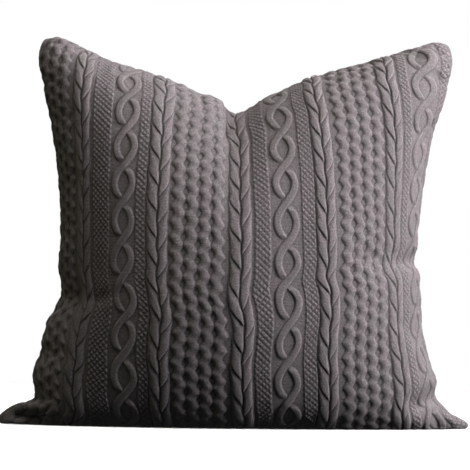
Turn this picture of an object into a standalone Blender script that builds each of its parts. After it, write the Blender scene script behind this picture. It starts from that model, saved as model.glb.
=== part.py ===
"""A square throw pillow, plumped and creased at the top, standing on its bottom edge.

A knit cover of two panels holds a pillow form: a casing of two panels round loose filling. The cover
opens along its bottom seam, where a zipper lies in a narrow slot, clear of the surface below.

Metres, +Z up, front towards -Y. The origin is on the surface that the pillow stands on, under its middle.
"""

import math

import bmesh
import bpy

# Driving dimensions.
THICKNESS = 0.190  # front to back at the belly
COVER_WALL = 0.003  # knit fabric
CASING_WALL = 0.001  # woven casing of the pillow form
GAP = 0.0003  # between pieces that touch
CASING_INSET = 0.009  # from the outside of the cover to the inside of the casing, at the seam
CASING_SLACK = 0.008  # the same, front and back
CASING_FLOOR = 0.0145  # the casing clears the zipper
FILLING_INSET = 0.002  # from the casing to the filling
BOTTOM_SAG = 0.014  # how far the bottom is pressed flat by the pillow's weight
CREASE_DEPTH = 0.20  # share of the thickness that the crease at the top takes away
CREASE_WIDTH = 0.055
CREASE_HEIGHTS = (0.18, 0.28)  # where the crease starts, and where it is full
GRID = 28  # cells each way in a cover panel
INNER_GRID = 20  # cells each way in what the cover holds

# The seam between the front and the back, seen from the front, as (x, z).
LEFT_EDGE = (
    (-0.222, 0.004),  # tip of the bottom corner
    (-0.207, 0.017),
    (-0.188, 0.027),
    (-0.187, 0.048),
    (-0.179, 0.090),
    (-0.168, 0.127),
    (-0.169, 0.185),
    (-0.175, 0.262),
    (-0.186, 0.325),
    (-0.186, 0.360),  # top corner
)
RIGHT_EDGE = (
    (0.222, 0.004),
    (0.206, 0.016),
    (0.192, 0.028),
    (0.190, 0.047),
    (0.179, 0.088),
    (0.176, 0.128),
    (0.171, 0.158),
    (0.174, 0.190),
    (0.185, 0.262),
    (0.199, 0.328),
    (0.200, 0.360),
)
TOP_EDGE = (
    LEFT_EDGE[-1],
    (-0.175, 0.368),
    (-0.142, 0.357),
    (-0.090, 0.338),
    (-0.040, 0.319),
    (-0.018, 0.311),
    (0.000, 0.298),  # bottom of the crease
    (0.022, 0.311),
    (0.060, 0.328),
    (0.115, 0.346),
    (0.165, 0.361),
    (0.190, 0.368),
    RIGHT_EDGE[-1],
)
SEAM_CENTRE = (0.0, 0.12)
COVER_SIDES = (LEFT_EDGE, RIGHT_EDGE)
FORM_SIDES = (LEFT_EDGE[2:], RIGHT_EDGE[2:])  # the pillow form stops short of the cover's empty corners

# Zipper, along X in the middle of the bottom seam. Heights are above the surface below.
SLOT_HALF = 0.0062  # from the middle of the seam to the cover's edge
SLOT_LIFT = 0.0035  # the cover's edges turn up by this much
SLOT_END = 0.190  # the slot is open as far as this each way
SLOT_CLOSED = 0.214  # and the panels meet again here
TAPE_END = 0.178
TAPE_OUTER = 0.014
TAPE_INNER = 0.00075
TAPE_BOTTOM = COVER_WALL + SLOT_LIFT + 0.0004
TAPE_TOP = TAPE_BOTTOM + 0.0006
COIL_END = 0.164
COIL_OUTER = 0.0038
COIL_BOTTOM = TAPE_TOP + GAP
COIL_TOP = COIL_BOTTOM + 0.0016
TOOTH_PITCH = 0.004
TOOTH_LENGTH = 0.0018
STOP_START = COIL_END + 0.0025
STOP_LENGTH = 0.003

# Slider and its pull tab.
SLIDER_X = 0.155
SLIDER_LENGTH = 0.010
SLIDER_HALF = 0.0042
SLIDER_PLATE = 0.001
SLIDER_FLARE = 0.0002  # the plates open a little towards their edges
SLIDER_LOWER = TAPE_BOTTOM - GAP - SLIDER_PLATE  # underside of the lower plate
SLIDER_UPPER = COIL_TOP + GAP  # underside of the upper plate
POST_HALF = TAPE_INNER - GAP
BRIDGE_WIDTH = 0.0016
BRIDGE_LENGTH = 0.0044
BRIDGE_OPENING = 0.0028
BRIDGE_DROP = 0.0020
BRIDGE_STRAP = 0.0008
TAB_THICKNESS = 0.001
TAB_LENGTH = 0.022
TAB_HALF = 0.0025
TAB_BAR = 0.001  # the bar that the bridge holds
TAB_HOLE_HALF = 0.0012
TAB_HOLE_LENGTH = 0.004
TAB_AXIS = (SLIDER_X, 0.0, SLIDER_LOWER - BRIDGE_DROP / 2)


def clear_scene():
    for obj in list(bpy.data.objects):
        bpy.data.objects.remove(obj, do_unlink=True)


def new_collection(name):
    collection = bpy.data.collections.new(name)
    bpy.context.scene.collection.children.link(collection)
    return collection


def new_material(name, color, roughness, metallic=0.0):
    material = bpy.data.materials.new(name)
    material.use_nodes = True
    shader = material.node_tree.nodes["Principled BSDF"]
    shader.inputs["Base Color"].default_value = (*color, 1.0)
    shader.inputs["Roughness"].default_value = roughness
    shader.inputs["Metallic"].default_value = metallic
    return material


def add_object(name, data, collection, material):
    obj = bpy.data.objects.new(name, data)
    collection.objects.link(obj)
    data.materials.append(material)
    return obj


def smooth_step(low, high, value):
    t = min(max((value - low) / (high - low), 0.0), 1.0)
    return t * t * (3 - 2 * t)


def towards_middle(point, inset):
    """The point moved by inset towards the middle of the seam's outline."""
    dx, dz = SEAM_CENTRE[0] - point[0], SEAM_CENTRE[1] - point[1]
    share = inset / math.hypot(dx, dz)
    return point[0] + share * dx, point[1] + share * dz


def along(points, t):
    """The point a share t of the way along a smooth curve through the points."""
    lengths = [math.dist(a, b) for a, b in zip(points, points[1:])]
    distance = min(max(t, 0.0), 1.0) * sum(lengths)
    i = 0
    while i < len(lengths) - 1 and distance > lengths[i]:
        distance -= lengths[i]
        i += 1
    s = min(distance / lengths[i], 1.0)
    before = points[max(i - 1, 0)]
    start, end = points[i], points[i + 1]
    after = points[min(i + 2, len(points) - 1)]
    return tuple(
        0.5 * (2 * b + (c - a) * s + (2 * a - 5 * b + 4 * c - d) * s * s + (3 * b - a - 3 * c + d) * s**3)
        for a, b, c, d in zip(before, start, end, after)
    )


def seam_patch(across, up, sides, inset):
    """A point (x, z) inside the seam's outline, blended from its four edges."""
    left, right = (towards_middle(along(side, up), inset) for side in sides)
    top = towards_middle(along(TOP_EDGE, across), inset)
    corners = [towards_middle(side[end], inset) for end in (0, -1) for side in sides]
    sag = BOTTOM_SAG * math.sin(math.pi * across) ** 0.6
    bottom = (
        (1 - across) * corners[0][0] + across * corners[1][0],
        (1 - across) * corners[0][1] + across * corners[1][1] - sag,
    )
    point = []
    for k in range(2):
        edges = (1 - up) * bottom[k] + up * top[k] + (1 - across) * left[k] + across * right[k]
        low = (1 - across) * corners[0][k] + across * corners[1][k]
        high = (1 - across) * corners[2][k] + across * corners[3][k]
        point.append(edges - (1 - up) * low - up * high)
    return point


def bulge(u, v, x, z):
    """The share of the full depth at (u, v), less what the crease at the top takes from (x, z)."""
    crease = CREASE_DEPTH * math.exp(-((x / CREASE_WIDTH) ** 2)) * smooth_step(*CREASE_HEIGHTS, z)
    return math.sin(math.pi * u) * math.sin(math.pi * v) * (1 - crease)


def half_sheet(name, cells, sides, inset, depth, floor, slot, lift):
    """An open sheet from the seam forward, for the front half: the inside of a panel.

    Rows and columns crowd towards the seam, so that the sheet turns through a right angle there.
    """
    mesh = bpy.data.meshes.new(name)
    sheet = bmesh.new()
    bmesh.ops.create_grid(sheet, x_segments=cells, y_segments=cells, size=0.5)
    for vertex in sheet.verts:
        u, v = vertex.co.x + 0.5, vertex.co.y + 0.5
        across, up = (1 - math.cos(math.pi * u)) / 2, (1 - math.cos(math.pi * v)) / 2
        x, z = seam_patch(across, up, sides, inset)
        open_share = 1 - smooth_step(SLOT_END, SLOT_CLOSED, abs(x))
        opening = GAP / 2 + slot * open_share * (1 - smooth_step(0.0, 0.3, v))
        y = -opening - (depth - opening) * bulge(u, v, x, z)
        z = max(z, floor)
        if v < 0.5 / cells:
            z += lift * open_share
        vertex.co = (x, y, z)
    # The sheet's faces look forward, out of the pillow.
    sheet.normal_update()
    if sum(face.normal.y for face in sheet.faces) > 0:
        bmesh.ops.reverse_faces(sheet, faces=sheet.faces)
    sheet.to_mesh(mesh)
    sheet.free()
    mesh.shade_smooth()
    return mesh


def mirrored(mesh, name):
    """A copy of the mesh on the other side of the XZ plane, with its faces still looking out."""
    other = mesh.copy()
    other.name = name
    for vertex in other.vertices:
        vertex.co.y = -vertex.co.y
    other.flip_normals()
    return other


def add_panels(prefix, collection, material, wall, **shape):
    """A front and a back panel, each an open sheet thickened outwards."""
    front = half_sheet(prefix + "front_panel", **shape)
    for mesh in (front, mirrored(front, prefix + "back_panel")):
        panel = add_object(mesh.name, mesh, collection, material)
        shell = panel.modifiers.new("wall", "SOLIDIFY")
        shell.thickness = wall
        shell.offset = 1.0
        shell.use_rim = True


def add_filling(collection, material):
    """One closed body of loose fibre, mirrored about the seam's plane."""
    mesh = half_sheet(
        "fiber_filling",
        cells=INNER_GRID,
        sides=FORM_SIDES,
        inset=CASING_INSET + FILLING_INSET,
        depth=THICKNESS / 2 - CASING_SLACK - FILLING_INSET,
        floor=CASING_FLOOR + FILLING_INSET,
        slot=0.0,
        lift=0.0,
    )
    for vertex in mesh.vertices:
        vertex.co.y = min(vertex.co.y + GAP / 2, 0.0)
    filling = add_object("fiber_filling", mesh, collection, material)
    mirror = filling.modifiers.new("back half", "MIRROR")
    mirror.use_axis = (False, True, False)
    mirror.merge_threshold = 0.00001


def flat_outline(name, loops, thickness):
    """A curve that fills the loops, each a list of (x, y), and gives them a thickness about z = 0."""
    curve = bpy.data.curves.new(name, "CURVE")
    curve.dimensions = "2D"
    curve.fill_mode = "BOTH"
    curve.extrude = thickness / 2
    for loop in loops:
        spline = curve.splines.new("POLY")
        spline.points.add(len(loop) - 1)
        for point, (x, y) in zip(spline.points, loop):
            point.co = (x, y, 0.0, 1.0)
        spline.use_cyclic_u = True
    return curve


def rectangle(x0, x1, y0, y1):
    return [(x0, y0), (x1, y0), (x1, y1), (x0, y1)]


def add_box(name, x, y, z, collection, material):
    """A box between the two values given for each axis."""
    mesh = bpy.data.meshes.new(name)
    box = bmesh.new()
    bmesh.ops.create_cube(box, size=1.0)
    for vertex in box.verts:
        vertex.co = [(low + high) / 2 + (high - low) * c for (low, high), c in zip((x, y, z), vertex.co)]
    box.to_mesh(mesh)
    box.free()
    return add_object(name, mesh, collection, material)


def coil_outline(side, phase):
    """A comb: a straight back away from the seam and a tooth in each pitch, towards the seam."""
    root = side * (TAPE_INNER + TOOTH_LENGTH)
    tip = side * TAPE_INNER
    back = side * COIL_OUTER
    outline = [(-COIL_END, back), (-COIL_END, root)]
    half = TOOTH_PITCH / 4
    for k in range(int(2 * COIL_END / TOOTH_PITCH)):
        middle = -COIL_END + (k + phase) * TOOTH_PITCH
        outline += [(middle - half, root), (middle - half * 0.7, tip)]
        outline += [(middle + half * 0.7, tip), (middle + half, root)]
    return outline + [(COIL_END, root), (COIL_END, back)]


def add_zipper_halves(collection, tape_material, coil_material):
    for name, side, phase in (("front", -1, 0.3), ("back", 1, 0.7)):
        near, far = sorted((side * TAPE_INNER, side * TAPE_OUTER))
        add_box(
            "zipper_tape_" + name,
            (-TAPE_END, TAPE_END),
            (near, far),
            (TAPE_BOTTOM, TAPE_TOP),
            collection,
            tape_material,
        )
        coil = flat_outline("zipper_coil_" + name, [coil_outline(side, phase)], COIL_TOP - COIL_BOTTOM)
        add_object(coil.name, coil, collection, coil_material).location.z = (COIL_TOP + COIL_BOTTOM) / 2


def add_stops(collection, material):
    """One stop joins both tapes where the zipper starts, and each tape has its own where it ends."""
    start = (-STOP_START - STOP_LENGTH, -STOP_START)
    end = (STOP_START, STOP_START + STOP_LENGTH)
    height = (COIL_BOTTOM, COIL_TOP)
    add_box("zipper_bottom_stop", start, (-COIL_OUTER, COIL_OUTER), height, collection, material)
    add_box("zipper_top_stop_front", end, (-COIL_OUTER, -TAPE_INNER), height, collection, material)
    add_box("zipper_top_stop_back", end, (TAPE_INNER, COIL_OUTER), height, collection, material)


def add_slider(collection, cutters, material):
    """Two plates joined by a post between the tapes, and a bridge below that holds the pull tab."""
    lower, upper = SLIDER_LOWER, SLIDER_UPPER
    right_side = [
        (SLIDER_HALF, lower),
        (SLIDER_HALF, lower + SLIDER_PLATE - SLIDER_FLARE),
        (POST_HALF, lower + SLIDER_PLATE),
        (POST_HALF, upper),
        (SLIDER_HALF, upper + SLIDER_FLARE),
        (SLIDER_HALF, upper + SLIDER_PLATE),
    ]
    section = right_side + [(-y, z) for y, z in reversed(right_side)]
    slider = extruded(flat_outline("zipper_slider", [section], SLIDER_LENGTH), "X", collection, material)
    outer, inner = BRIDGE_LENGTH / 2, BRIDGE_OPENING / 2
    root, ceiling = SLIDER_PLATE / 2, -BRIDGE_DROP
    arch = [
        (-outer, root),
        (-outer, ceiling - BRIDGE_STRAP),
        (outer, ceiling - BRIDGE_STRAP),
        (outer, root),
        (inner, root),
        (inner, ceiling),
        (-inner, ceiling),
        (-inner, root),
    ]
    bridge = extruded(flat_outline("slider_bridge", [arch], BRIDGE_WIDTH), "Y", cutters, material)
    bridge.hide_render = True
    bridge.display_type = "WIRE"
    for vertex in slider.data.vertices:
        vertex.co.x += SLIDER_X
    for vertex in bridge.data.vertices:
        vertex.co.x += SLIDER_X
        vertex.co.z += SLIDER_LOWER
    join = slider.modifiers.new("bridge", "BOOLEAN")
    join.operation = "UNION"
    join.solver = "EXACT"
    join.object = bridge


def extruded(curve, axis, collection, material):
    """A mesh from a filled outline whose thickness runs along the axis."""
    source = bpy.data.objects.new(curve.name, curve)
    bpy.context.scene.collection.objects.link(source)
    graph = bpy.context.evaluated_depsgraph_get()
    mesh = bpy.data.meshes.new_from_object(source.evaluated_get(graph))
    bpy.data.objects.remove(source, do_unlink=True)
    solid = bmesh.new()
    solid.from_mesh(mesh)
    bmesh.ops.remove_doubles(solid, verts=solid.verts, dist=0.00001)
    for vertex in solid.verts:
        a, b, c = vertex.co
        vertex.co = (c, a, b) if axis == "X" else (a, c, b)
    bmesh.ops.recalc_face_normals(solid, faces=solid.faces)
    solid.to_mesh(mesh)
    solid.free()
    mesh.name = curve.name
    return add_object(curve.name, mesh, collection, material)


def add_pull_tab(collection, material):
    """A flat tab with a hole near its end, hinged on the bar beyond the hole. It lies towards -X."""
    start = TAB_BAR / 2
    outline = rectangle(start - TAB_LENGTH, start, -TAB_HALF, TAB_HALF)
    hole = rectangle(start - TAB_BAR - TAB_HOLE_LENGTH, start - TAB_BAR, -TAB_HOLE_HALF, TAB_HOLE_HALF)
    tab = flat_outline("zipper_pull_tab", [outline, hole], TAB_THICKNESS)
    pivot = bpy.data.objects.new("pull_tab_axis", None)
    collection.objects.link(pivot)
    pivot.location = TAB_AXIS
    add_object(tab.name, tab, collection, material).parent = pivot


def main():
    clear_scene()
    pillow = new_collection("throw_pillow")
    cutters = new_collection("cutters")
    knit = new_material("knit_cover", (0.25, 0.225, 0.225), 0.95)
    cotton = new_material("insert_casing", (0.80, 0.79, 0.76), 0.90)
    fibre = new_material("polyester_fiber", (0.88, 0.88, 0.86), 0.95)
    tape = new_material("zipper_tape", (0.20, 0.18, 0.18), 0.90)
    coil = new_material("zipper_coil", (0.17, 0.155, 0.155), 0.45)
    metal = new_material("zipper_metal", (0.22, 0.20, 0.20), 0.40, 0.8)

    add_panels(
        "",
        pillow,
        knit,
        COVER_WALL,
        cells=GRID,
        sides=COVER_SIDES,
        inset=COVER_WALL,
        depth=THICKNESS / 2 - COVER_WALL,
        floor=COVER_WALL,
        slot=SLOT_HALF,
        lift=SLOT_LIFT,
    )
    add_panels(
        "insert_",
        pillow,
        cotton,
        CASING_WALL,
        cells=INNER_GRID,
        sides=FORM_SIDES,
        inset=CASING_INSET,
        depth=THICKNESS / 2 - CASING_SLACK,
        floor=CASING_FLOOR,
        slot=0.0,
        lift=0.0,
    )
    add_filling(pillow, fibre)
    add_zipper_halves(pillow, tape, coil)
    add_stops(pillow, metal)
    add_slider(pillow, cutters, metal)
    add_pull_tab(pillow, metal)


main()
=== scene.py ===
"""The looks of a cable-knit throw pillow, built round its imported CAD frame.

Two panels of knit fabric are laid over the pillow's plump form, settled by a cloth simulation, and then
carry the knit itself as real relief: plaited braids, linked chains, honeycomb and seed stitch.

Metres, +Z up, front towards -Y. Lengths along the fabric are in millimetres where a name ends in _MM.
"""

import bpy
import numpy as np
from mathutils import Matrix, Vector


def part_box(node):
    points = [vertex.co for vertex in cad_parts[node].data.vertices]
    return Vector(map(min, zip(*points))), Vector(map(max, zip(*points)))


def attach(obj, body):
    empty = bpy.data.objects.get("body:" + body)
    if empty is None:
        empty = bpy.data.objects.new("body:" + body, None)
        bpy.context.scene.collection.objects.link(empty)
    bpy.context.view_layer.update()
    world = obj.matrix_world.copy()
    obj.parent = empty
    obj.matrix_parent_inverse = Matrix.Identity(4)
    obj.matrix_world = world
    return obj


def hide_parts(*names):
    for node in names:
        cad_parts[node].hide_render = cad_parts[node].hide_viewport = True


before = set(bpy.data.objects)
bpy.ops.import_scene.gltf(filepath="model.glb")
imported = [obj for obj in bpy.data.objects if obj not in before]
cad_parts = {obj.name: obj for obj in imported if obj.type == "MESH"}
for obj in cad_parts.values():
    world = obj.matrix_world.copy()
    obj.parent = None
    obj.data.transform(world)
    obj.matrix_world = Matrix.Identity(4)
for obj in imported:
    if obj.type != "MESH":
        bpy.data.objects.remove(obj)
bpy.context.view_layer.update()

# ---------------------------------------------------------------- sizes from the frame

COVER_LOW, COVER_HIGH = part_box("front_panel")
WIDTH = COVER_HIGH.x - COVER_LOW.x
HEIGHT = COVER_HIGH.z - COVER_LOW.z
DEPTH = -COVER_LOW.y
INSERT_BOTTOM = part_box("insert_front_panel")[0].z
FILLING_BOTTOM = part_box("fiber_filling")[0].z

# ---------------------------------------------------------------- the pillow's form

# The seam seen from the front, as shares of the cover's width and height from the bottom middle.
LEFT_SEAM = (
    (-0.498, 0.003),  # tip of the bottom corner
    (-0.500, 0.015),
    (-0.492, 0.028),
    (-0.477, 0.041),
    (-0.458, 0.051),
    (-0.436, 0.057),
    (-0.421, 0.069),  # the corner meets the body
    (-0.421, 0.098),
    (-0.424, 0.124),
    (-0.419, 0.153),
    (-0.408, 0.185),
    (-0.405, 0.222),
    (-0.396, 0.262),
    (-0.378, 0.298),
    (-0.366, 0.335),  # a tuck
    (-0.369, 0.368),
    (-0.374, 0.410),
    (-0.373, 0.485),
    (-0.375, 0.565),
    (-0.382, 0.650),
    (-0.397, 0.768),
    (-0.415, 0.868),
    (-0.425, 0.930),
    (-0.424, 0.972),
    (-0.419, 0.990),  # top corner
)
RIGHT_SEAM = (
    (0.500, 0.003),
    (0.502, 0.012),
    (0.495, 0.021),
    (0.480, 0.030),
    (0.463, 0.040),
    (0.447, 0.058),
    (0.431, 0.079),
    (0.428, 0.096),
    (0.431, 0.122),
    (0.422, 0.160),
    (0.410, 0.205),
    (0.402, 0.250),
    (0.399, 0.305),
    (0.397, 0.350),
    (0.393, 0.395),
    (0.380, 0.428),  # a tuck
    (0.388, 0.465),
    (0.392, 0.515),
    (0.398, 0.570),
    (0.410, 0.672),
    (0.424, 0.760),
    (0.443, 0.830),
    (0.457, 0.895),
    (0.464, 0.950),
    (0.457, 0.990),
)
TOP_SEAM = (
    LEFT_SEAM[-1],
    (-0.388, 0.997),
    (-0.355, 0.984),
    (-0.320, 0.966),
    (-0.286, 0.946),
    (-0.252, 0.932),
    (-0.184, 0.908),
    (-0.115, 0.877),
    (-0.080, 0.859),
    (-0.052, 0.849),
    (-0.034, 0.836),
    (-0.018, 0.814),
    (-0.004, 0.804),  # bottom of the crease
    (0.012, 0.808),
    (0.030, 0.822),
    (0.060, 0.846),
    (0.090, 0.864),
    (0.150, 0.896),
    (0.220, 0.924),
    (0.300, 0.951),
    (0.375, 0.979),
    (0.424, 0.996),
    RIGHT_SEAM[-1],
)
BOTTOM_SAG = 0.038  # of the height: how far the weight presses the bottom flat
EAR_REACH = 0.085  # of the width: how far in the empty bottom corners stay thin
CREASE_TAKES = 0.11  # of the depth, where the top is pushed in
CREASE_WIDTH = 0.100  # of the width
SLOT_HALF_WIDTH = 0.0060  # between the zipper and the cover's edge on one side
SLOT_ENDS = (0.174, 0.192)  # where the bottom seam starts to close, and is closed
SLOT_LIFT = 0.0036  # the slot's rim over the floor
PUCKER_REACH = 0.11  # of the width: how far in from a side its puckers reach
FULLNESS = 0.92  # of the depth's curve: under 1 is fuller near the seams
EAR_THINS = 0.45  # of the depth, at the empty bottom corners

# Folds pressed into the cover: their ends as shares of width and height, then their reach and depth.
FOLDS = (
    (-0.484, 0.027, -0.402, 0.016, 0.0055, 0.0140),
    (-0.480, 0.033, -0.464, 0.040, 0.0035, 0.0040),
    (-0.385, 0.335, -0.330, 0.318, 0.0080, 0.0035),
    (0.385, 0.428, 0.340, 0.416, 0.0080, 0.0035),
    (0.425, 0.082, 0.385, 0.060, 0.0070, 0.0040),
    (-0.017, 0.815, -0.022, 0.740, 0.0065, 0.0090),
)

# The camera, which also says where the knit's columns and rows are seen.
CAMERA_DISTANCE = 1.6
CAMERA_HEIGHT = 0.045
AIM_HEIGHT = 0.1807
CAMERA_ROLL = 0.7  # degrees
FRAME_WIDTH = 0.445  # what the picture spans at the seam's plane

# Fabric of one panel between its seams.
FABRIC_WIDE_MM = 440.0
FABRIC_TALL_MM = 400.0

CLOTH_COLUMNS, CLOTH_ROWS = 110, 100  # squares of the simulated cloth
FORM_FINENESS = 4  # steps of the form to one of the cloth
KNIT_PITCH_MM = 0.62


def quads_of(index):
    """The squares of a grid of point numbers, rows up and columns across."""
    corners = (index[:-1, :-1], index[:-1, 1:], index[1:, 1:], index[1:, :-1])
    return np.stack(corners, axis=-1).reshape(-1, 4)


def smooth_step(low, high, value):
    t = np.clip((value - low) / (high - low), 0.0, 1.0)
    return t * t * (3 - 2 * t)


def cubic(a, b, c, d, s):
    """The curve through b and c with neighbours a and d, at shares s of the way from b to c."""
    return 0.5 * (2 * b + (c - a) * s + (2 * a - 5 * b + 4 * c - d) * s**2 + (3 * b - a - 3 * c + d) * s**3)


def along(points, shares):
    """Points at these shares of the way along a smooth curve through the given points."""
    knots = np.array(points, float)
    steps = np.linalg.norm(np.diff(knots, axis=0), axis=1)
    reach = np.concatenate([[0.0], np.cumsum(steps)]) / steps.sum()
    i = np.clip(np.searchsorted(reach, shares, side="right") - 1, 0, len(steps) - 1)
    s = ((shares - reach[i]) / (reach[i + 1] - reach[i]))[:, None]
    last = len(knots) - 1
    return cubic(knots[np.maximum(i - 1, 0)], knots[i], knots[i + 1], knots[np.minimum(i + 2, last)], s)


def resample(points, shares, axis):
    """The array read at these shares of the way along an axis, by a smooth cubic."""
    points = np.moveaxis(points, axis, 0)
    last = len(points) - 1
    place = np.clip(shares, 0, 1) * last
    i = np.minimum(place.astype(int), last - 1)
    s = (place - i).reshape((-1,) + (1,) * (points.ndim - 1))
    out = cubic(points[np.maximum(i - 1, 0)], points[i], points[i + 1], points[np.minimum(i + 2, last)], s)
    return np.moveaxis(out, 0, axis)


def calm(line):
    """A seam line without its puckers: the same ends, and a gentle curve between them."""
    share = np.linspace(0, 1, len(line))
    chord = line[:1] * (1 - share)[:, None] + line[-1:] * share[:, None]
    waves = [np.sin(k * np.pi * share) for k in (1, 2, 3, 4)]
    fit = np.linalg.lstsq(np.stack(waves, axis=1), line - chord, rcond=None)[0]
    return chord + np.stack(waves, axis=1) @ fit


def blurred(field, steps):
    """The field averaged over this many grid steps up and across, each way."""
    for axis, reach in enumerate(steps):
        for _ in range(2 * (reach > 0)):
            margins = [(reach + 1, reach) if k == axis else (0, 0) for k in (0, 1)]
            padded = np.pad(field, margins, mode="edge")
            total = np.cumsum(padded, axis=axis)
            length = field.shape[axis]
            high = np.take(total, np.arange(2 * reach + 1, 2 * reach + 1 + length), axis=axis)
            low = np.take(total, np.arange(length), axis=axis)
            field = (high - low) / (2 * reach + 1)
    return field


def seam_patch(across, up):
    """Points (x, z) inside the seam, blended from its four edges. Rows go up, columns across."""
    size = np.array([WIDTH, HEIGHT])
    sides = [along(seam, up) * size for seam in (LEFT_SEAM, RIGHT_SEAM)]
    left, right = (calm(side) for side in sides)
    top = along(TOP_SEAM, across) * size
    u, v = across[None, :, None], up[:, None, None]
    bottom = (1 - across)[:, None] * left[0] + across[:, None] * right[0]
    bottom[:, 1] -= BOTTOM_SAG * HEIGHT * np.sin(np.pi * across) ** 0.6
    edges = (1 - v) * bottom[None] + v * top[None] + (1 - u) * left[:, None] + u * right[:, None]
    corners = (1 - v) * ((1 - u) * left[0] + u * right[0]) + v * ((1 - u) * left[-1] + u * right[-1])
    patch = edges - corners
    for line, smooth, share in ((sides[0], left, u), (sides[1], right, 1 - u)):
        patch = patch + (line - smooth)[:, None] * (1 - smooth_step(0.0, PUCKER_REACH, share))
    return patch


def slot_half(x):
    """Half the gap along the bottom seam, where the zipper is sewn in."""
    return SLOT_HALF_WIDTH * (1 - smooth_step(*SLOT_ENDS, np.abs(x))) + 0.0003


def plump_form(columns, rows):
    """The front half of the pillow's form: an array (rows, columns, 3), from the seam forward."""
    a, b = np.linspace(0, 1, columns), np.linspace(0, 1, rows)
    across, up = (1 - np.cos(np.pi * a)) / 2, (1 - np.cos(np.pi * b)) / 2
    flat = seam_patch(across, up)
    x, z = flat[..., 0], flat[..., 1]
    depth = np.sin(np.pi * a)[None, :] * np.sin(np.pi * b)[:, None]
    # A stuffed pillow is fuller near its sides than an ellipse, and heavier low down.
    depth = depth**FULLNESS * (1 + 0.05 * np.cos(np.pi * (up[:, None] - 0.1)))
    crease = np.exp(-((x / (CREASE_WIDTH * WIDTH)) ** 2)) * smooth_step(0.55, 0.85, z / HEIGHT)
    depth *= 1 - CREASE_TAKES * crease
    for side in (-1, 1):
        reach = np.hypot((x - side * WIDTH / 2) / (EAR_REACH * WIDTH), z / (0.8 * EAR_REACH * WIDTH))
        depth *= 1 - EAR_THINS * np.exp(-(reach**2))
    for x0, z0, x1, z1, reach, fold in FOLDS:
        start = np.array([x0 * WIDTH, z0 * HEIGHT])
        run = np.array([(x1 - x0) * WIDTH, (z1 - z0) * HEIGHT])
        share = np.clip(((flat - start) @ run) / (run @ run), 0, 1)
        gap = np.linalg.norm(flat - start - share[..., None] * run, axis=-1)
        depth -= fold / DEPTH * np.exp(-((gap / reach) ** 2)) * smooth_step(0.0, 0.25, depth)
    slot = slot_half(x) * (1 - up[:, None]) ** 8 * (1 - np.abs(2 * across - 1) ** 14)
    y = -slot - (DEPTH - slot) * depth / depth.max()
    z = np.maximum(z, SLOT_LIFT * np.exp(-((y + slot) / 0.006) ** 2) * (slot / SLOT_HALF_WIDTH))
    return np.stack([x, y, z], axis=-1)


def spread_evenly(points, axis):
    """The same surface with its points spaced evenly along each line of the axis."""
    lines = np.moveaxis(points, axis, 1).copy()
    even = np.linspace(0, 1, lines.shape[1])
    for line in lines:
        reach = np.concatenate([[0.0], np.cumsum(np.linalg.norm(np.diff(line, axis=0), axis=1))])
        for k in range(3):
            line[:, k] = np.interp(even, reach / reach[-1], line[:, k].copy())
    return np.moveaxis(lines, 1, axis)


def laid_fabric():
    """The form with fabric laid on it: equal steps along the array are equal lengths of fabric."""
    points = plump_form(FORM_FINENESS * CLOTH_COLUMNS + 1, FORM_FINENESS * CLOTH_ROWS + 1)
    for _ in range(3):
        points = spread_evenly(points, 1)
        points = spread_evenly(points, 0)
    return points[::FORM_FINENESS, ::FORM_FINENESS]


# ---------------------------------------------------------------- where the knit's pattern lies

# Where the three chains run, as seen from the front, as shares of the width and height.
CHAIN_LINES = (
    (
        (-0.229, 0.05),
        (-0.235, 0.23),
        (-0.239, 0.40),
        (-0.245, 0.52),
        (-0.243, 0.62),
        (-0.237, 0.81),
        (-0.231, 0.91),
    ),
    (
        (0.117, 0.05),
        (0.118, 0.22),
        (0.115, 0.42),
        (0.111, 0.53),
        (0.107, 0.64),
        (0.102, 0.74),
        (0.085, 0.85),
    ),
    (
        (0.425, 0.05),
        (0.396, 0.20),
        (0.383, 0.36),
        (0.381, 0.46),
        (0.384, 0.60),
        (0.396, 0.73),
        (0.401, 0.85),
        (0.386, 0.945),
    ),
)
CHAIN_STARTS = (0.12, 0.45, 0.85)  # the share of the panel past which each chain is looked for
CHAIN_LIMIT = 0.965  # how far across the panel the last chain may lie
LEVEL_SHARE, LEVEL_MM = 0.53, 225.3  # the knit's row at this share of the height, all the way across


def as_seen(base):
    """Each point's place on the seam's plane from the camera, as shares of the width and height."""
    near = CAMERA_DISTANCE / (CAMERA_DISTANCE + base[..., 1])
    return base[..., 0] * near / WIDTH, (CAMERA_HEIGHT + (base[..., 2] - CAMERA_HEIGHT) * near) / HEIGHT


def fabric_across(base):
    """How far across the fabric each point of the base lies, in mm, with the chains along their lines."""
    seen_x, seen_z = as_seen(base)
    columns = base.shape[1]
    knots = [np.zeros(len(base))]
    for line, first in zip(CHAIN_LINES, CHAIN_STARTS):
        places, heights = np.array(line).T
        gap = seen_x - np.interp(seen_z, heights, places)
        gap[:, : int(first * columns)] = -1
        right = np.minimum(np.argmax(gap > 0, axis=1), columns - 1)
        right = np.where((gap > 0).any(axis=1), right, columns - 2)
        rows = np.arange(len(base))
        low, high = gap[rows, right - 1], gap[rows, right]
        column = right - np.clip(high / (high - low), 0, 1)
        knots.append(np.clip(column / (columns - 1), 0, CHAIN_LIMIT))
    knots.append(np.ones(len(base)))
    knots = blurred(np.stack(knots, axis=1), (6, 0))
    fabric = [0.0, *CHAINS_AT, FABRIC_WIDE_MM]
    even = np.linspace(0, 1, columns)
    across = np.stack([np.interp(even, row, fabric) for row in knots])
    inner = blurred(across, (2, 3))
    edge = np.minimum(even, 1 - even) / 0.06
    return across + (inner - across) * np.clip(edge, 0, 1)


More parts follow.
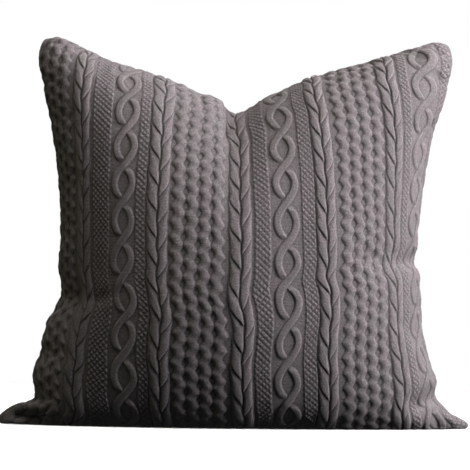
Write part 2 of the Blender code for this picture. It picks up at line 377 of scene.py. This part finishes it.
def fabric_up(base):
    """How far up the fabric each point of the base lies, in mm, with the knit's rows level as seen."""
    seen_z = as_seen(base)[1]
    row, columns = np.argmax(seen_z > LEVEL_SHARE, axis=0), np.arange(base.shape[1])
    low, high = seen_z[row - 1, columns], seen_z[row, columns]
    level = (row - (high - LEVEL_SHARE) / (high - low)) / (len(base) - 1)
    return np.linspace(0, 1, len(base))[:, None] * LEVEL_MM / blurred(level[None], (0, 4))


# ---------------------------------------------------------------- cloth simulation

SLACK = 0.012  # extra fabric everywhere
LOOSE_SLACK = 0.06  # extra fabric at the tucks and bottom corners
# Where it is loose: shares of the width and height, and a reach in the same shares.
LOOSE_SPOTS = ((-0.375, 0.335, 0.09), (0.382, 0.428, 0.09), (-0.41, 0.06, 0.13), (0.42, 0.07, 0.13))
MOST_MOVE = 0.009  # no point settles further than this
SIM_FRAMES = 20


def settle(front):
    """Both panels sewn together, filled with pressure and settled. Returns the front and back arrays."""
    rows, columns = front.shape[:2]
    back = front * (1, -1, 1)
    index = np.arange(rows * columns).reshape(rows, columns)
    back_index = index + rows * columns
    back_index[:, 0], back_index[:, -1], back_index[-1] = index[:, 0], index[:, -1], index[-1]
    points = np.concatenate([front.reshape(-1, 3), back.reshape(-1, 3)])
    back_quads = quads_of(back_index)[:, [0, 3, 2, 1]]
    bottom = [index[0, 1:-2], back_index[0, 1:-2], back_index[0, 2:-1], index[0, 2:-1]]
    quads = np.concatenate([quads_of(index), back_quads, np.stack(bottom, axis=-1)])
    used, renumbered = np.unique(quads, return_inverse=True)
    mesh = bpy.data.meshes.new("cloth")
    mesh.from_pydata(points[used].tolist(), [], renumbered.reshape(quads.shape).tolist())
    cloth = bpy.data.objects.new("cloth", mesh)
    bpy.context.scene.collection.objects.link(cloth)
    edge = np.unique(np.concatenate([index[:, 0], index[:, -1], index[-1], index[0], back_index[0]]))
    pinned = cloth.vertex_groups.new(name="seam")
    pinned.add(np.searchsorted(used, edge).tolist(), 1.0, "REPLACE")
    loose = cloth.vertex_groups.new(name="loose")
    shares = points[used] / (WIDTH, 1, HEIGHT)
    for x, z, reach in LOOSE_SPOTS:
        near = np.exp(-(((shares[:, 0] - x) ** 2 + (shares[:, 2] - z) ** 2) / reach**2))
        for vertex in np.flatnonzero(near > 0.05):
            loose.add([int(vertex)], float(near[vertex]), "ADD")
    modifier = cloth.modifiers.new("cloth", "CLOTH")
    settings = modifier.settings
    settings.quality = 6
    settings.mass = 0.3
    settings.use_pressure = True
    settings.uniform_pressure_force = 4.0
    settings.vertex_group_mass = "seam"
    settings.shrink_min = -SLACK
    settings.shrink_max = -LOOSE_SLACK
    settings.vertex_group_shrink = "loose"
    settings.tension_stiffness = settings.compression_stiffness = 20
    settings.bending_stiffness = 1.5
    settings.air_damping = 3
    settings.effector_weights.gravity = 0
    modifier.collision_settings.use_collision = False
    modifier.point_cache.frame_end = SIM_FRAMES
    for number in range(1, SIM_FRAMES + 1):
        bpy.context.scene.frame_set(number)
    settled = cloth.evaluated_get(bpy.context.evaluated_depsgraph_get())
    found = np.empty(len(used) * 3, np.float32)
    settled.data.vertices.foreach_get("co", found)
    bpy.data.objects.remove(cloth)
    bpy.context.scene.frame_set(1)
    move = found.reshape(-1, 3) - points[used]
    length = np.linalg.norm(move, axis=1, keepdims=True)
    points[used] += move * MOST_MOVE / (MOST_MOVE + length)
    return points[index], points[back_index] * (1, -1, 1)


# ---------------------------------------------------------------- the knit's relief, in millimetres

# Where each column of the pattern has its middle, from the left seam.
CHAINS_AT = (114.0, 262.0, 410.0)
BRAIDS_AT = (67.5, 147.3, 221.4, 300.7, 374.5, 447.0)
HONEYCOMBS_AT = (28.0, 182.6, 338.6)
SEED_BANDS = (
    (80.5, 99.2),
    (126.6, 135.8),
    (233.4, 247.4),
    (277.0, 289.2),
    (386.2, 395.4),
    (424.6, 436.0),
)
COLUMN_REACH = 30.0  # no column is wider than this, each way

# START is the height of a repeat over the bottom seam, and SWING how far a strand moves to each side.
# BRAID_LEFT and BRAID_RIGHT are the widths of a plait's two columns of leaves.
CHAIN_START, CHAIN_LINK, CHAIN_SWING, CHAIN_HALF, CHAIN_HEIGHT = 21.8, 33.5, 8.8, 3.4, 1.45
SEED_WIDE, SEED_TALL, SEED_HEIGHT = 5.6, 5.2, 1.15
BRAID_START, BRAID_LOBE, BRAID_LEFT, BRAID_RIGHT, BRAID_HEIGHT = -0.2, 22.9, 10.7, 9.4, 2.5
LEAN_LEFT, LEAN_RIGHT, LEAN_AT_EDGE = 14.0, 11.5, 7.0  # how far a leaf climbs across, and its last turn up
RIGHT_PHASE = 0.45  # of a leaf: how far the right leaves lie below the left ones
HONEYCOMB_START, HONEYCOMB_CELL, HONEYCOMB_STEP = 2.7, 12.9, 11.9
HONEYCOMB_HALF, HONEYCOMB_SWING, HONEYCOMB_HEIGHT = 5.1, 1.75, 1.9

SEAM_WELT_MM = 0.8  # how far the fabric stands over its seams
HEM = ((0.0045, 0.0024), (0.0020, 0.0020), (0.0006, 0.0012))  # each row's way in and up at the slot
NEAR_MM, AROUND_MM = 0.9, 2.5  # how far round a point its hollow is measured, for the painted shade and highlight
NEAR_SHARE = 2.6  # how much the nearer hollows count in the painted shade and highlight
UV_MARGIN = 0.002


def rounded(share, power, height):
    """A raised strand's cross-section, from its middle at share 0 to its edge at 1."""
    return height * np.clip(1 - np.abs(share) ** power, 0, 1) ** 0.5


def chain(x, t):
    """Two strands that swap sides at each link. The one that leans to the right lies on top."""
    turn = np.pi * (t - CHAIN_START) / CHAIN_LINK + np.pi / 2
    height = np.zeros_like(x)
    for sign in (1, -1):
        slope = sign * CHAIN_SWING * np.cos(turn) * np.pi / CHAIN_LINK
        off = (x - sign * CHAIN_SWING * np.sin(turn)) / np.sqrt(1 + slope**2)
        tucked = np.where(slope < 0, smooth_step(0.62, 0.22, np.abs(np.sin(turn))), 0.0)
        half = CHAIN_HALF * (1 - 0.35 * tucked)
        height = np.maximum(height, rounded(off / half, 3.2, CHAIN_HEIGHT) * (1 - 0.85 * tucked))
    return height


def seed(x, t, low, high):
    """Small diamonds in a lattice, with thin creases between them."""
    a, b = x / SEED_WIDE + t / SEED_TALL, x / SEED_WIDE - t / SEED_TALL
    bumps = np.minimum(np.abs(np.cos(np.pi * a)), np.abs(np.cos(np.pi * b))) ** 0.6
    inside = smooth_step(low - 0.5, low + 0.5, x) * smooth_step(high + 0.5, high - 0.5, x)
    return SEED_HEIGHT * bumps * inside


def braid(x, t):
    """A plait: two columns of leaves with a groove between them, each leaf lying over the one below."""
    t = t - BRAID_START
    x = x - 0.5 * np.sin(2 * np.pi * t / BRAID_LOBE)
    left = x < 0
    half = np.where(left, BRAID_LEFT, BRAID_RIGHT)
    lean = np.where(left, LEAN_LEFT, LEAN_RIGHT)
    phase = t / BRAID_LOBE + np.where(left, 0.0, RIGHT_PHASE)
    at_edge = phase - (lean + LEAN_AT_EDGE) / BRAID_LOBE
    belly = 0.89 + 0.11 * np.abs(np.sin(np.pi * at_edge)) ** 0.6
    out = np.clip(np.abs(x) / half, 0, 1.2) / belly
    share = (phase - (lean * out + LEAN_AT_EDGE * out**6) / BRAID_LOBE) % 1.0
    lip = smooth_step(0.0, 0.07, share) * (1 - 0.10 * share)
    dip = 1 - 0.36 * smooth_step(0.60, 1.0, share)
    crease = 1 - 0.32 * np.exp(-(((share + 0.5) % 1.0 - 0.5) / 0.045) ** 2)
    groove = 1 - 0.70 * np.exp(-((x / 0.9) ** 2))
    swell = 0.74 + 0.26 * np.sqrt(np.clip(4 * out * (1 - out), 0, 1))
    leaf = rounded(np.clip(out, 0, 1), 4, BRAID_HEIGHT) * (0.55 + 0.45 * lip)
    return leaf * crease * dip * groove * swell


def honeycomb(x, t):
    """Four upright ridges that lean together and apart, round staggered hollows."""
    height = np.zeros_like(x)
    turn = 2 * np.pi * (t - HONEYCOMB_START) / HONEYCOMB_CELL
    for k in range(4):
        sign = 1 if k % 2 else -1
        share = (x - (k - 1.5) * HONEYCOMB_STEP - sign * HONEYCOMB_SWING * np.cos(turn)) / HONEYCOMB_HALF
        knobs = 0.92 + 0.08 * np.cos(2 * turn)
        height = np.maximum(height, HONEYCOMB_HEIGHT * knobs * np.clip(1 - share**2, 0, 1) ** 0.62)
    return height


def relief(s, t):
    """The knit's height over its ground, in millimetres, at s across and t up the fabric."""
    height = np.zeros_like(s)
    for low, high in SEED_BANDS:
        middle = (low + high) / 2
        height = np.maximum(height, seed(s - middle, t, low - middle, high - middle))
    for columns, column in ((CHAINS_AT, chain), (BRAIDS_AT, braid), (HONEYCOMBS_AT, honeycomb)):
        for middle in columns:
            near = np.abs(s - middle) < COLUMN_REACH
            height[near] = np.maximum(height[near], column(s[near] - middle, t[near]))
    return height


def drift(rows, columns, cells, seed_number):
    """A gentle random field, between about -1 and 1, that changes over 1/cells of the fabric."""
    random = np.random.default_rng(seed_number)
    coarse = random.uniform(-1, 1, (cells, cells))
    fine = resample(coarse, np.linspace(0, 1, rows), 0)
    return resample(fine, np.linspace(0, 1, columns), 1)


def knit_panel(name, base, side):
    """A panel of knit over the base surface, as a mesh with the fabric's own coordinates."""
    columns = int(FABRIC_WIDE_MM / KNIT_PITCH_MM) + 1
    rows = int(FABRIC_TALL_MM / KNIT_PITCH_MM) + 1
    across, up = np.linspace(0, 1, columns), np.linspace(0, 1, rows)
    points = resample(resample(base, up, 0), across, 1)
    normal = np.cross(np.gradient(points, axis=1), np.gradient(points, axis=0))
    normal /= np.linalg.norm(normal, axis=-1, keepdims=True) + 1e-12
    s = resample(resample(fabric_across(front_base), up, 0), across, 1)
    t = resample(resample(fabric_up(front_base), up, 0), across, 1)
    side_gap, top_gap = np.minimum(s, FABRIC_WIDE_MM - s), t[-1:] - t
    edge = np.minimum(side_gap * 0.45, np.minimum(t, top_gap * 0.6))
    seam = np.minimum(np.minimum(side_gap, top_gap), t)
    s_drift = s + 0.7 * drift(rows, columns, 14, 1 + side)
    t_drift = t + 1.0 * drift(rows, columns, 12, 5 + side)
    height = relief(s_drift, t_drift) * (1 + 0.08 * drift(rows, columns, 40, 9 + side))
    around, near = int(AROUND_MM / KNIT_PITCH_MM), max(1, int(NEAR_MM / KNIT_PITCH_MM))
    # Painted shade and highlight: darker where the relief dips below its surroundings, paler where it
    # stands over them, and darker along the seams.
    painted_relief_shading = height - blurred(height, (around, around))
    painted_relief_shading += NEAR_SHARE * (height - blurred(height, (near, near)))
    painted_relief_shading -= 1.2 * np.exp(-((seam / 1.4) ** 2))
    height = height * smooth_step(0.0, 6.0, edge) + SEAM_WELT_MM * smooth_step(0.0, 2.5, seam)
    points = points + normal * (height * 0.001)[..., None]
    # The edge along the zipper is turned in.
    opened = slot_half(points[0, :, :1]) / SLOT_HALF_WIDTH
    points = np.concatenate([[points[0] + opened * (0.0, -out, lift) for out, lift in HEM], points])
    s_drift, t_drift, height, painted_relief_shading = (
        np.concatenate([np.repeat(field[:1], len(HEM), axis=0), field])
        for field in (s_drift, t_drift, height, painted_relief_shading)
    )
    rows += len(HEM)
    if side > 0:
        points[..., 1] *= -1
    points[..., 2] = np.maximum(points[..., 2], 0.0)
    index = np.arange(rows * columns).reshape(rows, columns)
    quads = quads_of(index)
    if side > 0:
        quads = quads[:, ::-1]
    mesh = bpy.data.meshes.new(name)
    mesh.vertices.add(rows * columns)
    mesh.vertices.foreach_set("co", points.astype(np.float32).ravel())
    mesh.loops.add(quads.size)
    mesh.loops.foreach_set("vertex_index", quads.astype(np.int32).ravel())
    mesh.polygons.add(len(quads))
    mesh.polygons.foreach_set("loop_start", np.arange(0, quads.size, 4, dtype=np.int32))
    mesh.update(calc_edges=True)
    mesh.shade_smooth()
    fabric = np.stack([s_drift, t_drift, height], axis=-1).astype(np.float32)
    mesh.attributes.new("fabric", "FLOAT_VECTOR", "POINT").data.foreach_set("vector", fabric.ravel())
    painted_relief_shading = painted_relief_shading.astype(np.float32)
    mesh.attributes.new("painted_relief_shading", "FLOAT", "POINT").data.foreach_set("value", painted_relief_shading.ravel())
    places = np.stack(np.meshgrid(across, np.linspace(0, 1, rows)), axis=-1).reshape(-1, 2)
    places = (UV_MARGIN + (1 - 2 * UV_MARGIN) * places[quads.ravel()]).astype(np.float32)
    mesh.uv_layers.new(name="OFBake").data.foreach_set("uv", places.ravel())
    obj = bpy.data.objects.new(name, mesh)
    bpy.context.scene.collection.objects.link(obj)
    return obj


# ---------------------------------------------------------------- materials


class Nodes:
    """A material's node tree, with short calls for the nodes that these materials use."""

    def __init__(self, name, color, roughness, metallic=0.0, sheen=0.0):
        self.material = bpy.data.materials.new(name)
        self.material.use_nodes = True
        self.tree = self.material.node_tree
        self.shader = self.tree.nodes["Principled BSDF"]
        self.shader.inputs["Base Color"].default_value = (*color, 1)
        self.shader.inputs["Roughness"].default_value = roughness
        self.shader.inputs["Metallic"].default_value = metallic
        self.shader.inputs["Sheen Weight"].default_value = sheen
        self.shader.inputs["Sheen Roughness"].default_value = 0.5

    def put(self, value, socket):
        if isinstance(value, bpy.types.NodeSocket):
            self.tree.links.new(value, socket)
        else:
            socket.default_value = value

    def attribute(self, name, output):
        node = self.tree.nodes.new("ShaderNodeAttribute")
        node.attribute_name = name
        return node.outputs[output]

    def math(self, operation, *values):
        node = self.tree.nodes.new("ShaderNodeMath")
        node.operation = operation
        for value, socket in zip(values, node.inputs):
            self.put(value, socket)
        return node.outputs[0]

    def split(self, vector):
        node = self.tree.nodes.new("ShaderNodeSeparateXYZ")
        self.put(vector, node.inputs[0])
        return node.outputs

    def noise(self, vector, scale, detail=2.0, roughness=0.5):
        node = self.tree.nodes.new("ShaderNodeTexNoise")
        self.put(vector, node.inputs["Vector"])
        node.inputs["Scale"].default_value = scale
        node.inputs["Detail"].default_value = detail
        node.inputs["Roughness"].default_value = roughness
        return node.outputs[0]

    def stretched(self, vector, scale):
        node = self.tree.nodes.new("ShaderNodeMapping")
        self.put(vector, node.inputs["Vector"])
        node.inputs["Scale"].default_value = scale
        return node.outputs[0]

    def between(self, value, low, high, to_low=0.0, to_high=1.0):
        node = self.tree.nodes.new("ShaderNodeMapRange")
        for v, socket in zip((value, low, high, to_low, to_high), node.inputs):
            self.put(v, socket)
        return node.outputs[0]

    def mix(self, share, first, second, blend="MIX"):
        node = self.tree.nodes.new("ShaderNodeMix")
        node.data_type = "RGBA"
        node.blend_type = blend
        self.put(share, node.inputs[0])
        for value, socket in ((first, node.inputs[6]), (second, node.inputs[7])):
            self.put(value if isinstance(value, bpy.types.NodeSocket) else (*value, 1), socket)
        return node.outputs[2]

    def bump(self, height, distance):
        node = self.tree.nodes.new("ShaderNodeBump")
        node.inputs["Distance"].default_value = distance
        self.put(height, node.inputs["Height"])
        self.put(node.outputs[0], self.shader.inputs["Normal"])

    def color(self, value):
        self.put(value, self.shader.inputs["Base Color"])

    def roughness(self, value):
        self.put(value, self.shader.inputs["Roughness"])


WALE_MM = 1.55  # one stitch across
COURSE_MM = 1.25  # one stitch up
MAUVE_YARN, GREY_YARN = (0.330, 0.252, 0.280), (0.258, 0.246, 0.240)
DARK_FLECKS, PALE_FIBRES = (0.215, 0.186, 0.199), (0.470, 0.408, 0.427)


def knit_material():
    """Heathered yarn in fine stitches, with painted shade in the creases, seams and stitch gaps and a
    painted highlight on the raised stitches.
    """
    nodes = Nodes("knit_cover", (0.30, 0.255, 0.265), 0.92, sheen=0.12)
    fabric = nodes.attribute("fabric", "Vector")
    s, t, height = nodes.split(fabric)
    # Each stitch is a small V: the loops slope down to the middle of their wale.
    across = nodes.math("DIVIDE", s, WALE_MM)
    valley = nodes.math("ABSOLUTE", nodes.math("SUBTRACT", nodes.math("FRACT", across), 0.5))
    course = nodes.math("ADD", nodes.math("DIVIDE", t, COURSE_MM), nodes.math("MULTIPLY", valley, 1.1))
    loop = nodes.math("ABSOLUTE", nodes.math("SINE", nodes.math("MULTIPLY", course, np.pi)))
    wale = nodes.math("ABSOLUTE", nodes.math("SINE", nodes.math("MULTIPLY", across, 2 * np.pi)))
    stitch = nodes.math("MULTIPLY", nodes.math("POWER", loop, 0.6), nodes.math("POWER", wale, 0.4))
    # The ground shows purl rows instead.
    row = nodes.math("ABSOLUTE", nodes.math("SINE", nodes.math("MULTIPLY", t, np.pi / COURSE_MM)))
    raised = nodes.between(height, 0.4, 1.2)
    purl = nodes.math("MULTIPLY", row, nodes.math("SUBTRACT", 1.0, raised))
    fine = nodes.math("ADD", nodes.math("MULTIPLY", stitch, raised), purl)
    fuzz = nodes.noise(fabric, 2.2, 3.0, 0.7)
    heather = nodes.noise(fabric, 0.9, 3.0, 0.75)
    flecks = nodes.noise(nodes.stretched(fabric, (0.62, 0.38, 0.3)), 1.0, 2.0, 0.6)
    patches = nodes.noise(fabric, 0.055, 2.0, 0.5)
    color = nodes.mix(nodes.between(patches, 0.36, 0.64), MAUVE_YARN, GREY_YARN)
    color = nodes.mix(nodes.between(flecks, 0.41, 0.59, 0.0, 0.85), color, DARK_FLECKS)
    color = nodes.mix(nodes.between(heather, 0.38, 0.62, 0.0, 0.8), color, PALE_FIBRES)
    # Painted shade in the creases and along the seams, and a painted highlight on the raised stitches.
    shade = nodes.between(nodes.attribute("painted_relief_shading", "Fac"), -1.6, 0.9, 0.50, 1.12)
    # Painted shade in the gaps between the stitches.
    painted_gap_shade = nodes.between(fine, 0.0, 0.7, 0.72, 1.0)
    shade = nodes.math("MULTIPLY", shade, painted_gap_shade)
    shade = nodes.math("MULTIPLY", shade, nodes.between(flecks, 0.40, 0.60, 0.84, 1.14))
    dark = nodes.tree.nodes.new("ShaderNodeCombineColor")
    for k in range(3):
        nodes.put(shade, dark.inputs[k])
    nodes.color(nodes.mix(1.0, color, dark.outputs[0], "MULTIPLY"))
    nodes.roughness(nodes.between(fuzz, 0.3, 0.7, 0.84, 1.0))
    nodes.bump(nodes.math("ADD", fine, nodes.math("MULTIPLY", fuzz, 0.9)), 0.00035)
    return nodes.material


def woven_material(name, color, thread, roughness, pitch):
    """A plain weave: two sets of threads, over and under, read from the piece's own coordinates, with
    painted shade in the gaps between the threads.
    """
    nodes = Nodes(name, color, roughness, sheen=0.05)
    place = nodes.tree.nodes.new("ShaderNodeTexCoord").outputs["Object"]
    x, y, z = nodes.split(place)
    turn = np.pi / pitch
    warp = nodes.math("SINE", nodes.math("MULTIPLY", x, turn))
    weft = nodes.math("SINE", nodes.math("MULTIPLY", nodes.math("ADD", z, y), turn))
    weave = nodes.math("ABSOLUTE", nodes.math("MULTIPLY", warp, weft))
    slubs = nodes.noise(place, 400, 3.0, 0.6)
    shade = nodes.mix(nodes.between(slubs, 0.35, 0.65), color, thread)
    # Painted shade: the colour darkens in the gaps between the threads.
    painted_gap_shade = tuple(0.4 * c for c in color)
    nodes.color(nodes.mix(nodes.between(weave, 0.0, 0.35, 0.35, 0.0), shade, painted_gap_shade))
    nodes.roughness(nodes.between(slubs, 0.3, 0.7, roughness - 0.08, roughness + 0.04))
    nodes.bump(weave, 0.4 * pitch)
    return nodes.material


def fiber_material():
    """Polyester fill: pale tangled strands with a soft shine."""
    nodes = Nodes("polyester_fiber", (0.82, 0.81, 0.79), 0.75, sheen=0.3)
    place = nodes.tree.nodes.new("ShaderNodeTexCoord").outputs["Object"]
    tangle = nodes.noise(place, 60, 6.0, 0.7)
    strands = nodes.noise(place, 900, 2.0, 0.6)
    nodes.color(nodes.mix(nodes.between(tangle, 0.35, 0.65), (0.74, 0.73, 0.70), (0.90, 0.89, 0.87)))
    nodes.roughness(nodes.between(strands, 0.3, 0.7, 0.65, 0.85))
    nodes.bump(nodes.math("ADD", strands, nodes.math("MULTIPLY", tangle, 4.0)), 0.0008)
    return nodes.material


def metal_material():
    """Zinc zipper metal with fine brushing, dulled where it has been handled."""
    nodes = Nodes("zipper_metal", (0.42, 0.41, 0.40), 0.35, metallic=1.0)
    place = nodes.tree.nodes.new("ShaderNodeTexCoord").outputs["Object"]
    lines = nodes.noise(nodes.stretched(place, (150, 4000, 4000)), 1.0, 2.0, 0.5)
    wear = nodes.noise(place, 700, 3.0, 0.6)
    nodes.color(nodes.mix(nodes.between(wear, 0.4, 0.65), (0.46, 0.45, 0.43), (0.30, 0.29, 0.28)))
    nodes.roughness(nodes.between(wear, 0.3, 0.7, 0.26, 0.50))
    nodes.bump(lines, 0.00003)
    return nodes.material


def nylon_material():
    """The zipper's moulded nylon coil: smooth, slightly mottled, with fine drawing lines."""
    nodes = Nodes("zipper_coil", (0.16, 0.145, 0.145), 0.38)
    place = nodes.tree.nodes.new("ShaderNodeTexCoord").outputs["Object"]
    mottle = nodes.noise(place, 900, 2.0, 0.5)
    nodes.color(nodes.mix(mottle, (0.135, 0.122, 0.122), (0.19, 0.175, 0.172)))
    nodes.roughness(nodes.between(mottle, 0.3, 0.7, 0.30, 0.46))
    nodes.bump(nodes.noise(place, 3000, 2.0, 0.5), 0.00002)
    return nodes.material


# ---------------------------------------------------------------- the insert inside the cover

INSERT_MARGIN = 5  # steps of the cloth between the cover's seam and the insert's
CASING_GAP = 0.0065  # from the cover's ground to the casing
FILLING_GAP = 0.0082  # from the cover's ground to the filling


def inner_form(cover, gap, lowest):
    """One half of a pillow form that fills the cover from inside, this far from its surface."""
    normal = np.cross(np.gradient(cover, axis=1), np.gradient(cover, axis=0))
    normal /= np.linalg.norm(normal, axis=-1, keepdims=True)
    inside = cover - gap * np.stack([blurred(normal[..., k], (2, 2)) for k in range(3)], axis=-1)
    inside = inside[INSERT_MARGIN:-INSERT_MARGIN, INSERT_MARGIN:-INSERT_MARGIN]
    inside[..., 1] = np.minimum(inside[..., 1], -0.001)
    for edge in (inside[0], inside[-1], inside[:, 0], inside[:, -1]):
        edge[:, 1] = 0.0
    inside[..., 2] = np.maximum(inside[..., 2], lowest)
    return inside


def grid_faces(rows, columns, first=0, turned=False):
    """The faces of a grid whose points are numbered from first on, turned over if asked."""
    faces = quads_of(np.arange(rows * columns).reshape(rows, columns) + first)
    return (faces[:, ::-1] if turned else faces).tolist()


def soft_piece(name, points, faces, material, node):
    mesh = bpy.data.meshes.new(name)
    mesh.from_pydata(points.tolist(), [], faces)
    mesh.shade_smooth()
    mesh.materials.append(material)
    piece = bpy.data.objects.new(name, mesh)
    bpy.context.scene.collection.objects.link(piece)
    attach(piece, "pillow")
    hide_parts(node)
    return piece


def add_insert(front, back):
    casing = woven_material("insert_casing", (0.78, 0.77, 0.74), (0.88, 0.87, 0.85), 0.85, 0.0006)
    halves = []
    for name, node, cover, side in (
        ("casing_front", "insert_front_panel", front, 1),
        ("casing_back", "insert_back_panel", back, -1),
    ):
        half = inner_form(cover, CASING_GAP, INSERT_BOTTOM)
        faces = grid_faces(*half.shape[:2], turned=side < 0)
        soft_piece(name, (half * (1, side, 1)).reshape(-1, 3), faces, casing, node)
        fill = inner_form(cover, FILLING_GAP, FILLING_BOTTOM)
        fill[1:-1, 1:-1, 1] *= 1 - 0.02 * (1 + drift(*fill.shape[:2], 22, 31 + side))[1:-1, 1:-1]
        halves.append((fill * (1, side, 1)).reshape(-1, 3))
    faces = grid_faces(*half.shape[:2]) + grid_faces(*half.shape[:2], len(halves[0]), turned=True)
    points = np.concatenate(halves)
    soft_piece("fiber_fill", points, faces, fiber_material(), "fiber_filling")


TAPE_DARK, TAPE_PALE = (0.20, 0.18, 0.18), (0.27, 0.245, 0.245)


def finish_zipper():
    """The zipper's own solids stay, with better materials."""
    materials = {
        "zipper_tape": woven_material("zipper_tape", TAPE_DARK, TAPE_PALE, 0.8, 0.00045),
        "zipper_coil": nylon_material(),
        "zipper_metal": metal_material(),
    }
    slots = {
        "zipper_tape_front": "zipper_tape",
        "zipper_tape_back": "zipper_tape",
        "zipper_coil_front": "zipper_coil",
        "zipper_coil_back": "zipper_coil",
    }
    for name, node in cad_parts.items():
        if name.startswith("zipper_"):
            node.data.materials.clear()
            node.data.materials.append(materials[slots.get(name, "zipper_metal")])


form = laid_fabric()
front_base, back_base = settle(form)
add_insert(front_base, back_base)
finish_zipper()
knit = knit_material()
for name, side, base, node in (
    ("knit_cover_front", -1, front_base, "front_panel"),
    ("knit_cover_back", 1, back_base, "back_panel"),
):
    panel = knit_panel(name, base, side)
    panel.data.materials.append(knit)
    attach(panel, "pillow")
    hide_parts(node)

# ---------------------------------------------------------------- stage

camera_data = bpy.data.cameras.new("camera")
camera_data.sensor_width = 36.0
camera_data.lens = 36.0 * CAMERA_DISTANCE / FRAME_WIDTH
camera = bpy.data.objects.new("camera", camera_data)
bpy.context.scene.collection.objects.link(camera)
camera.location = (0.0, -CAMERA_DISTANCE, CAMERA_HEIGHT)
tilt = np.arctan2(AIM_HEIGHT - CAMERA_HEIGHT, CAMERA_DISTANCE)
camera.rotation_euler = (np.radians(90.0) + tilt, 0.0, 0.0)
camera.rotation_euler.rotate_axis("Z", np.radians(CAMERA_ROLL))
bpy.context.scene.camera = camera


LIT_POINT = Vector((0, 0, 0.20))


def softbox(name, location, size, power, color=(1, 1, 1)):
    """A soft rectangular lamp, turned towards the middle of the pillow."""
    light = bpy.data.lights.new(name, "AREA")
    light.shape = "RECTANGLE"
    light.size, light.size_y = size
    light.energy = power
    light.color = color
    obj = bpy.data.objects.new(name, light)
    bpy.context.scene.collection.objects.link(obj)
    obj.location = location
    obj.rotation_euler = (LIT_POINT - Vector(location)).to_track_quat("-Z", "Y").to_euler()


softbox("key", (1.32, -0.66, 0.64), (0.5, 0.5), 13.0)
softbox("side", (1.50, -0.10, 0.90), (0.6, 0.6), 17.0)
softbox("top", (0.90, -0.30, 1.50), (0.6, 0.6), 8.5)
softbox("top_front", (0.50, -0.90, 1.60), (0.8, 0.8), 7.5)
softbox("warm_left", (-1.40, -0.40, 0.70), (0.6, 0.6), 0.45, (1.0, 0.94, 0.48))
softbox("warm_top", (-0.70, -0.40, 1.60), (0.6, 0.6), 2.0, (1.0, 0.94, 0.65))
softbox("back", (-0.50, 1.70, 1.20), (1.2, 1.0), 12.0)

scene = bpy.context.scene
scene.view_settings.view_transform = "Standard"
world = bpy.data.worlds.new("studio")
world.use_nodes = True
background = world.node_tree.nodes["Background"]
background.inputs["Color"].default_value = (0.86, 1.0, 0.93, 1)
background.inputs["Strength"].default_value = 0.024
scene.world = world


def stage_sheet(name, corners, color, glow=0.0):
    """A plain sheet of the studio, seen by the camera but throwing no light on the pillow."""
    mesh = bpy.data.meshes.new(name)
    mesh.from_pydata(corners, [], [(0, 1, 2, 3)])
    sheet = bpy.data.objects.new(name, mesh)
    scene.collection.objects.link(sheet)
    nodes = Nodes(name, color, 0.9)
    nodes.shader.inputs["Specular IOR Level"].default_value = 0.0
    nodes.shader.inputs["Emission Color"].default_value = (1, 1, 1, 1)
    nodes.shader.inputs["Emission Strength"].default_value = glow
    mesh.materials.append(nodes.material)
    sheet.visible_diffuse = False
    sheet.visible_glossy = False
    return sheet


FLOOR = -0.0005  # just under the pillow
FAR = 9.0  # how far out the walls stand, and how high
corners = [(-FAR, -FAR, FLOOR), (FAR, -FAR, FLOOR), (FAR, FAR, FLOOR), (-FAR, FAR, FLOOR)]
floor = stage_sheet("floor", corners, (0.8, 0.8, 0.8))
for name, x, y in (
    ("wall_back", 0, FAR),
    ("wall_front", 0, -FAR),
    ("wall_left", -FAR, 0),
    ("wall_right", FAR, 0),
):
    reach_x, reach_y = (FAR, 0) if y else (0, FAR)
    ends = ((x - reach_x, y - reach_y), (x + reach_x, y + reach_y))
    corners = [(*ends[0], FLOOR), (*ends[1], FLOOR), (*ends[1], FAR), (*ends[0], FAR)]
    wall = stage_sheet(name, corners, (0, 0, 0), glow=1.0)
    wall.visible_shadow = False

# The floor has a light of its own, so that it stays white round a soft shadow.
sun = bpy.data.lights.new("floor_light", "SUN")
sun.energy = 4.1
sun.angle = np.radians(50)  # wide, for a soft shadow
sun_object = bpy.data.objects.new("floor_light", sun)
scene.collection.objects.link(sun_object)
lit = bpy.data.collections.new("lit_by_floor_light")
lit.objects.link(floor)
sun_object.light_linking.receiver_collection = lit
